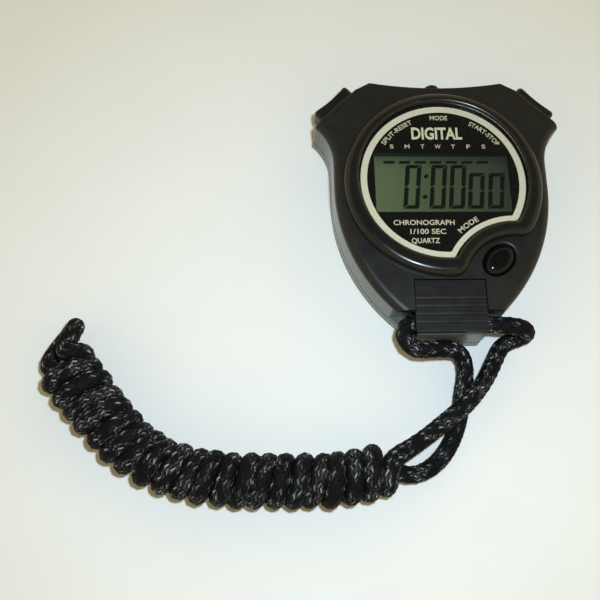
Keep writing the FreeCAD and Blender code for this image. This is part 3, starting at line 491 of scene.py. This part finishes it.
def figure_outlines():
    """Every dark shape that the display shows."""
    shapes = []
    for left in BIG_LEFTS:
        shapes += zero_bars(left, FIGURE_FOOT, BIG_TOP)
    for left in SMALL_LEFTS:
        shapes += zero_bars(left, FIGURE_FOOT, SMALL_TOP)
    shapes += [dot(*place) for place in COLON]
    for day in range(7):
        left = MARK_LEFT + MARK_STEP * day
        right = left + MARK_WIDTH
        shapes.append([(left, MARK_FOOT), (right, MARK_FOOT),
                       (right + MARK_LEAN, MARK_TOP), (left + MARK_LEAN, MARK_TOP)])
    return shapes


def add_figures():
    """The figures, and the soft shade that they throw on the reflector."""
    shapes = figure_outlines()
    figures = plates("display_figures", shapes, DISPLAY_TOP, DISPLAY_TOP + FIGURE_RISE)
    new_piece("display_figures", figures, "case", figure_ink())
    look = figure_shade()
    for number, (shift_x, shift_y, rise) in enumerate(SHADES):
        moved = [[(x + shift_x, y + shift_y) for x, y in shape] for shape in shapes]
        shade = plates(f"display_shade_{number}", moved, DISPLAY_TOP, DISPLAY_TOP + rise)
        new_piece(f"display_shade_{number}", shade, "case", look)


# ---------------------------------------------------------------- finishes
WALL_TOP = 12.4                   # height at which the case's walls end
RECESS_SIDE, RECESS_FOOT = 8.85, -34.9    # where the strap cover's recess ends in X and in Y
BEZEL_RADIUS, BEZEL_BITE = 25.15, 13.35   # radii of the bezel and of the bite out of it
BEZEL_FOOT = 14.25                # height above which the bezel is polished
FINISH_BLUR = 0.15                # half the width over which one finish turns into another
LENS_TOP = PRINT_TOP + 0.9        # height above which the lens shines
CELL = (-10.5, 12.5)              # centre of the button cell


class Look:
    """One material's nodes, with short calls for what the finishes share. Noise and masks follow
    the piece's own coordinates, which at rest are the frame's."""

    def __init__(self, name, colour, roughness, constants=()):
        self.material = bpy.data.materials.new(name)
        self.material.use_nodes = True
        self.tree = self.material.node_tree
        self.shader = self.tree.nodes["Principled BSDF"]
        self.place = self.tree.nodes.new("ShaderNodeTexCoord").outputs["Object"]
        self.give("Base Color", (*colour, 1.0))
        self.give("Roughness", roughness)
        for socket, value in dict(constants).items():
            self.give(socket, value)

    def put(self, socket, value):
        """Links an output to a socket, or sets a constant on it."""
        if isinstance(value, bpy.types.NodeSocket):
            self.tree.links.new(value, socket)
        else:
            socket.default_value = value

    def give(self, socket, value):
        """Sets one of the shader's inputs."""
        self.put(self.shader.inputs[socket], value)

    def add(self, kind, *values, **settings):
        """A node with its first inputs filled and its properties set."""
        node = self.tree.nodes.new("ShaderNode" + kind)
        for key, value in settings.items():
            setattr(node, key, value)
        for socket, value in zip(node.inputs, values):
            self.put(socket, value)
        return node

    def maths(self, operation, *values):
        """The result of one operation."""
        return self.add("Math", *values, operation=operation).outputs[0]

    def noise(self, size, detail=3.0, stretch=(1, 1, 1)):
        """Noise whose features are this many millimetres wide."""
        spread = self.add("Mapping", self.place)
        spread.inputs["Scale"].default_value = [1 / (size * MM * part) for part in stretch]
        node = self.add("TexNoise", spread.outputs[0])
        node.inputs["Scale"].default_value = 1.0
        node.inputs["Detail"].default_value = detail
        return node.outputs["Fac"]

    def span(self, value, low, high, start=0.3, end=0.7):
        """A value taken from one range to another."""
        return self.add("MapRange", value, start, end, low, high).outputs[0]

    def ramp(self, value, stops):
        """Colours along a value."""
        node = self.add("ValToRGB", value)
        elements = node.color_ramp.elements
        while len(elements) < len(stops):
            elements.new(0.5)
        for element, (position, colour) in zip(elements, stops):
            element.position, element.color = position, (*colour, 1.0)
        return node.outputs[0]

    def blend(self, factor, first, second, kind="MIX"):
        """Two colours mixed."""
        node = self.add("Mix", data_type="RGBA", blend_type=kind)
        self.put(node.inputs["Factor"], factor)
        for socket, colour in (("A", first), ("B", second)):
            target = next(i for i in node.inputs if i.name == socket and i.type == "RGBA")
            self.put(target, (*colour, 1.0) if isinstance(colour, tuple) else colour)
        return next(o for o in node.outputs if o.type == "RGBA")

    def between(self, factor, first, second):
        """A number between two others."""
        node = self.add("Mix")
        for index, value in ((0, factor), (2, first), (3, second)):
            self.put(node.inputs[index], value)
        return node.outputs[0]

    def bump(self, height, depth, strength=1.0):
        """Relief this many millimetres deep."""
        node = self.add("Bump")
        self.put(node.inputs["Height"], height)
        self.put(node.inputs["Distance"], depth * MM)
        self.put(node.inputs["Strength"], strength)
        self.give("Normal", node.outputs[0])

    def axis(self, name):
        """The place along X, Y or Z, in metres."""
        return self.add("SeparateXYZ", self.place).outputs[name]

    def away_from(self, centre):
        """Distance in X and Y from a point in millimetres, in metres."""
        shift = self.add("VectorMath", self.place, (centre[0] * MM, centre[1] * MM, 0.0),
                         operation="SUBTRACT").outputs[0]
        flat = self.add("VectorMath", shift, (1.0, 1.0, 0.0), operation="MULTIPLY").outputs[0]
        return self.add("VectorMath", flat, operation="LENGTH").outputs["Value"]

    def within(self, centre, radius):
        """1 inside a circle in X and Y, 0 outside it."""
        return self.span(self.away_from(centre), 1.0, 0.0,
                         (radius - FINISH_BLUR) * MM, (radius + FINISH_BLUR) * MM)

    def waves(self, value, pitch):
        """A sine along a length, this many millimetres from crest to crest."""
        return self.maths("SINE", self.maths("MULTIPLY", value, 2 * math.pi / (pitch * MM)))


def mottled(look, colour, spread, size):
    """Uneven colour, lighter and darker than the mean."""
    darker = tuple(part * (1 - spread) for part in colour)
    lighter = tuple(part * (1 + spread) for part in colour)
    look.give("Base Color", look.ramp(look.noise(size), [(0.3, darker), (0.7, lighter)]))


def plastic(name, colour, low, high, grain=0.16, depth=0.006):
    """Moulded plastic: a fine grain, uneven colour, and handling marks in its gloss."""
    look = Look(name, colour, high)
    mottled(look, colour, 0.15, 5.0)
    look.give("Roughness", look.span(look.noise(3.5, 5.0), low, high))
    look.bump(look.noise(grain, 2.0), depth)
    return look


def metal(name, colour, low, high, stretch=(12, 1, 1), size=0.12):
    """Rolled or brushed metal with marks along its grain and dull patches."""
    look = Look(name, colour, high, {"Metallic": 1.0})
    mottled(look, colour, 0.12, 2.5)
    grain = look.noise(size, 3.0, stretch)
    dull = look.noise(2.0, 4.0)
    look.give("Roughness", look.span(look.maths("ADD", grain, dull), low, high, 0.7, 1.3))
    look.bump(grain, 0.006, 0.6)
    return look


def case_plastic():
    """The case: satin with a fine grain, polished on the bezel, and paler on its walls outside the
    recess of the strap cover, a painted reflection of the pale sheet."""
    look = Look("case_plastic", (0.007, 0.0072, 0.0066), 0.4, {"Specular IOR Level": 0.38})
    low = look.maths("LESS_THAN", look.axis("Z"), WALL_TOP * MM)
    beside = look.maths("GREATER_THAN", look.maths("ABSOLUTE", look.axis("X")), RECESS_SIDE * MM)
    below = look.maths("LESS_THAN", look.axis("Y"), RECESS_FOOT * MM)
    above = look.maths("GREATER_THAN", look.axis("Y"), 0.0)
    outside = look.maths("MAXIMUM", look.maths("MAXIMUM", beside, below), above)
    painted_sheen_wall = look.maths("MULTIPLY", low, outside)
    front = look.ramp(look.noise(6.0), [(0.3, (0.006, 0.0062, 0.0056)),
                                        (0.7, (0.008, 0.0084, 0.0077))])
    # The walls' paler colour is a painted reflection of the pale sheet.
    look.give("Base Color", look.blend(painted_sheen_wall, front, (0.085, 0.095, 0.09)))
    off_bite = look.maths("SUBTRACT", 1.0, look.within(NOTCH, BEZEL_BITE))
    raised = look.maths("GREATER_THAN", look.axis("Z"), BEZEL_FOOT * MM)
    round_dial = look.maths("MULTIPLY", look.within(BEZEL, BEZEL_RADIUS), off_bite)
    polished = look.maths("MULTIPLY", round_dial, raised)
    satin = look.span(look.noise(4.0, 5.0), 0.35, 0.44)
    gloss = look.span(look.noise(2.5, 5.0), 0.2, 0.28)
    look.give("Roughness", look.between(painted_sheen_wall, look.between(polished, satin, gloss), 0.24))
    grainy = look.maths("SUBTRACT", 1.0, look.maths("MULTIPLY", polished, 0.9))
    look.bump(look.noise(0.14, 2.0), 0.008, grainy)
    return look


def clear_lens():
    """Clear acrylic: see-through, with a mirror's shine on its top face and a few faint smears."""
    look = Look("clear_lens", (1, 1, 1), 0.02)
    tree = look.tree
    tree.nodes.remove(look.shader)
    clear = look.add("BsdfTransparent", (0.95, 0.965, 0.945, 1.0))
    shine = look.add("BsdfAnisotropic", (1.0, 1.0, 1.0, 1.0))
    look.put(shine.inputs["Roughness"], look.span(look.noise(6.0, 6.0), 0.015, 0.06))
    fresnel = look.add("Fresnel", 1.46).outputs[0]
    top = look.maths("GREATER_THAN", look.axis("Z"), LENS_TOP * MM)
    mixed = look.add("MixShader", look.maths("MULTIPLY", fresnel, top),
                     clear.outputs[0], shine.outputs[0])
    tree.links.new(mixed.outputs[0], tree.nodes["Material Output"].inputs["Surface"])
    return look


def printed(name, colour, shine, metallic):
    """Screen-printed ink: slightly uneven, with a faint mesh mark."""
    look = Look(name, colour, 0.4, {"Metallic": metallic})
    mottled(look, colour, 0.07, 0.35)
    look.give("Roughness", look.span(look.noise(0.25), shine - 0.06, shine + 0.08))
    look.bump(look.noise(0.09, 2.0), 0.004)
    return look


def silver_print():
    """The ring's ink."""
    return printed("silver_print", (0.97, 0.79, 0.6), 0.4, 0.1)


def white_print():
    """The words' ink."""
    return printed("white_print", (0.93, 0.75, 0.5), 0.45, 0.0)


def film_black():
    """The black film behind the lens."""
    look = Look("film_black", (0.006, 0.006, 0.0055), 0.3, {"Specular IOR Level": 0.2})
    mottled(look, (0.006, 0.006, 0.0055), 0.3, 0.6)
    look.give("Roughness", look.span(look.noise(0.4), 0.22, 0.36))
    look.bump(look.noise(0.12), 0.004)
    return look


def display_green():
    """The display's grey-green field: paler at its left, painted partly for light and partly for
    its tone at a slant; a painted shadow along the window's top edge; and the faint lines of its
    electrodes."""
    look = Look("display_green", (0.08, 0.11, 0.06), 0.35)
    # Paler at the left: painted partly for light, partly for the display's tone seen at a slant.
    across = look.span(look.axis("X"), 0.0, 1.0, -17 * MM, 17 * MM)
    field = look.ramp(across, [(0.0, (0.155, 0.176, 0.077)), (0.45, (0.094, 0.111, 0.052)),
                               (0.8, (0.066, 0.076, 0.041)), (1.0, (0.045, 0.051, 0.033))])
    speck = look.ramp(look.noise(0.12, 2.0), [(0.3, (0.9, 0.9, 0.9)), (0.7, (1.08, 1.08, 1.08))])
    field = look.blend(1.0, field, speck, "MULTIPLY")
    lines = look.ramp(look.span(look.waves(look.axis("X"), 1.35), 0.0, 1.0, 0.9, 1.0),
                      [(0.0, (1, 1, 1)), (1.0, (0.93, 0.93, 0.93))])
    field = look.blend(1.0, field, lines, "MULTIPLY")
    # Painted shadow of the window's top edge, darker and bluer towards the top.
    painted_edge_shadow = look.ramp(look.span(look.axis("Y"), 0.0, 1.0, 8.8 * MM, 13.6 * MM),
                           [(0.0, (1, 1, 1)), (0.5, (0.75, 0.8, 0.85)), (1.0, (0.22, 0.28, 0.34))])
    look.give("Base Color", look.blend(1.0, field, painted_edge_shadow, "MULTIPLY"))
    look.give("Roughness", look.span(look.noise(1.5), 0.3, 0.42))
    look.bump(look.noise(0.06), 0.002)
    return look


def figure_ink():
    """Liquid crystal that is switched on: nearly black, a little green."""
    look = Look("figure_ink", (0.006, 0.009, 0.005), 0.5, {"Specular IOR Level": 0.1})
    mottled(look, (0.006, 0.009, 0.005), 0.25, 0.5)
    look.bump(look.noise(0.1), 0.002)
    return look


def figure_shade():
    """A soft shade of a figure on the reflector behind it."""
    look = Look("figure_shade", (0.01, 0.014, 0.008), 0.6)
    mottled(look, (0.01, 0.014, 0.008), 0.2, 0.5)
    clear = look.add("BsdfTransparent")
    mixed = look.add("MixShader", look.span(look.noise(0.4), 0.2, 0.3), clear.outputs[0],
                     look.shader.outputs[0])
    look.tree.links.new(mixed.outputs[0], look.tree.nodes["Material Output"].inputs["Surface"])
    return look


def board_green():
    """Solder mask over copper tracks, with bare pads."""
    look = Look("board_green", (0.02, 0.09, 0.03), 0.35)
    cells = look.add("TexVoronoi", look.place, feature="DISTANCE_TO_EDGE", distance="MANHATTAN")
    look.put(cells.inputs["Scale"], 1 / (2.6 * MM))
    track = look.span(cells.outputs["Distance"], 1.0, 0.0, 0.06, 0.09)
    pads = look.add("TexVoronoi", look.place, feature="F1")
    look.put(pads.inputs["Scale"], 1 / (3.4 * MM))
    pad = look.span(pads.outputs["Distance"], 1.0, 0.0, 0.14, 0.17)
    mask = look.ramp(look.noise(1.2), [(0.3, (0.012, 0.07, 0.022)), (0.7, (0.02, 0.095, 0.032))])
    tracked = look.blend(track, mask, (0.035, 0.15, 0.045))
    look.give("Base Color", look.blend(pad, tracked, (0.62, 0.6, 0.55)))
    look.give("Metallic", pad)
    look.give("Roughness", look.span(look.noise(0.8), 0.28, 0.42))
    look.bump(look.maths("MAXIMUM", track, pad), 0.035)
    return look


def striped_rubber():
    """Elastomer contact: thin conducting layers side by side."""
    look = Look("striped_rubber", (0.3, 0.3, 0.3), 0.7)
    wave = look.waves(look.axis("X"), 0.3)
    uneven = look.maths("ADD", wave, look.noise(0.5))
    look.give("Base Color", look.ramp(look.span(uneven, 0.0, 1.0, 0.2, 0.9),
                                      [(0.0, (0.03, 0.03, 0.03)), (1.0, (0.42, 0.41, 0.39))]))
    look.give("Roughness", look.span(look.noise(0.6), 0.6, 0.8))
    look.bump(wave, 0.01)
    return look


def cell_case():
    """The button cell: plated steel turned in a lathe, with fingerprints."""
    look = metal("cell_case", (0.62, 0.61, 0.58), 0.18, 0.34)
    look.bump(look.waves(look.away_from(CELL), 0.16), 0.004)
    return look


def nylon_braid():
    """Black nylon yarn: fibres along each strand, painted shade in its gaps, and here and there a
    painted glint on a strand.
    """
    look = Look("nylon_braid", (0.01, 0.01, 0.01), 0.5, {"Specular IOR Level": 0.08})
    braid = look.add("UVMap", uv_map="braid").outputs[0]
    lanes = look.add("SeparateXYZ", braid)
    over = look.add("Attribute", attribute_name="over").outputs["Fac"]
    crown = look.add("Attribute", attribute_name="crown").outputs["Fac"]

    def fibres(lane):
        """Seven fibres side by side in each strand."""
        return look.maths("SINE", look.maths("MULTIPLY", lane, 2 * math.pi * 7))

    stripe = look.between(over, fibres(lanes.outputs[1]), fibres(lanes.outputs[0]))
    wander = look.noise(0.5, 4.0)
    fibre = look.maths("ADD", look.maths("MULTIPLY", stripe, 0.3), wander)
    pale = look.ramp(look.span(fibre, 0.0, 1.0, 0.25, 0.95),
                     [(0.0, (0.002, 0.002, 0.0025)), (0.6, (0.0045, 0.0045, 0.0055)),
                      (1.0, (0.012, 0.0125, 0.014))])

    # Painted glints: short pale marks in some of the braid's cells, for the shine of filaments.
    cell = look.add("VectorMath", braid, operation="FLOOR").outputs[0]
    chance = look.add("TexWhiteNoise", cell)
    along = look.between(over, lanes.outputs[0], lanes.outputs[1])
    across = look.between(over, lanes.outputs[1], lanes.outputs[0])
    shift = look.span(chance.outputs["Value"], 0.3, 0.7)
    aside = look.maths("ABSOLUTE", look.maths("SUBTRACT", look.maths("FRACT", across), shift))
    thin = look.span(look.maths("ADD", aside, look.maths("MULTIPLY", wander, 0.05)),
                     1.0, 0.0, 0.09, 0.15)
    middle = look.maths("ABSOLUTE", look.maths("SUBTRACT", look.maths("FRACT", along), 0.5))
    short = look.span(middle, 1.0, 0.0, 0.26, 0.38)
    chosen = look.add("SeparateXYZ", chance.outputs["Color"])
    here = look.maths("GREATER_THAN", chosen.outputs[0], 0.5)
    glint_mark = look.maths("MULTIPLY", look.maths("MULTIPLY", thin, short), here)
    strength = look.maths("MULTIPLY", glint_mark, look.span(chosen.outputs[1], 0.4, 1.0))
    # Colour of the painted glints.
    with_painted_glints = look.blend(strength, pale, (0.3, 0.315, 0.32))
    # Painted shade in the gaps between strands: darker where the yarn lies low.
    crevice_shade = look.ramp(look.span(crown, 0.0, 1.0, 0.1, 0.6),
                     [(0.0, (0.25, 0.25, 0.25)), (1.0, (1, 1, 1))])
    look.give("Base Color", look.blend(1.0, with_painted_glints, crevice_shade, "MULTIPLY"))
    look.give("Roughness", look.span(look.noise(0.7), 0.55, 0.75))
    look.bump(fibre, 0.03, 0.7)
    return look


def pale_sheet():
    """The floor: matt white card with a little tooth."""
    look = Look("pale_sheet", (0.8, 0.8, 0.775), 0.8)
    mottled(look, (0.8, 0.8, 0.775), 0.012, 30.0)
    look.bump(look.noise(0.5, 4.0), 0.01)
    return look


def node_finishes():
    """The finish of every CAD node that stays in view."""
    black = (0.006, 0.0064, 0.006)
    case = case_plastic()
    spring = metal("spring_strip", (0.6, 0.58, 0.54), 0.2, 0.4)
    brass = metal("brass_sheet", (0.62, 0.45, 0.2), 0.22, 0.42)
    zinc = metal("zinc_screw", (0.5, 0.5, 0.5), 0.25, 0.45, (1, 1, 6))
    side = plastic("side_button", black, 0.24, 0.38, 0.12, 0.005)
    oval = plastic("oval_button", (0.004, 0.004, 0.005), 0.12, 0.18, 0.5, 0.002)
    cover = plastic("strap_cover", black, 0.32, 0.4, 0.13, 0.006)
    for look, level in ((oval, 0.25), (cover, 0.38), (side, 0.35)):
        look.give("Specular IOR Level", level)
    rubber = striped_rubber()
    return {
        "front_shell": case,
        "rear_shell": case,
        "window_lens": clear_lens(),
        "dial_mask": film_black(),
        "lcd_cell": plastic("cell_glass", (0.16, 0.2, 0.17), 0.08, 0.2, 0.4, 0.002),
        "lcd_front_polarizer": display_green(),
        "lcd_rear_reflector": metal("reflector", (0.7, 0.71, 0.68), 0.3, 0.45, (1, 1, 1), 0.08),
        "lcd_holder": plastic("white_holder", (0.6, 0.6, 0.57), 0.4, 0.55),
        "zebra_strip_upper": rubber,
        "zebra_strip_lower": rubber,
        "circuit_board": board_green(),
        "chip_blob": plastic("epoxy", (0.01, 0.01, 0.011), 0.1, 0.25, 0.7, 0.02),
        "quartz_crystal": metal("crystal_can", (0.66, 0.66, 0.64), 0.15, 0.3, (10, 1, 1)),
        "chip_capacitors": plastic("tan_ceramic", (0.42, 0.28, 0.15), 0.35, 0.5, 0.1),
        "chip_resistors": plastic("black_ceramic", (0.02, 0.02, 0.022), 0.25, 0.4, 0.1),
        "buzzer_plate": brass,
        "buzzer_ceramic": plastic("piezo", (0.55, 0.54, 0.5), 0.4, 0.55, 0.08),
        "buzzer_spring": spring,
        "battery_cell": cell_case(),
        "battery_top_contact": spring,
        "battery_base_contact": spring,
        "start_stop_button": side,
        "start_stop_clip": spring,
        "start_stop_contact": spring,
        "split_reset_button": side,
        "split_reset_clip": spring,
        "split_reset_contact": spring,
        "top_mode_button": side,
        "top_mode_contact": spring,
        "front_mode_button": oval,
        "front_button_dome": plastic("silicone", (0.3, 0.3, 0.29), 0.5, 0.65, 0.2),
        "strap_cover": cover,
        "case_screws": zinc,
        "board_screws": zinc,
    }


def finish_nodes():
    """Gives every CAD node its finish."""
    for name, look in node_finishes().items():
        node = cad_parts[name]
        if not node.material_slots:
            node.data.materials.append(look.material)
        for place in node.material_slots:
            place.material = look.material


# ---------------------------------------------------------------- the floor
def add_floor():
    """The sheet under the watch, wide enough to have no edge in view."""
    side = 2500.0
    corners = [(-side, -side, 0), (side, -side, 0), (side, side, 0), (-side, side, 0)]
    floor = bpy.data.objects.new("floor", flat_mesh("floor", corners, [(0, 1, 2, 3)]))
    bpy.context.collection.objects.link(floor)
    floor.data.materials.append(pale_sheet().material)


add_camera()
add_flash()
add_room()
add_floor()
finish_nodes()
add_lanyard()
add_print()
add_figures()
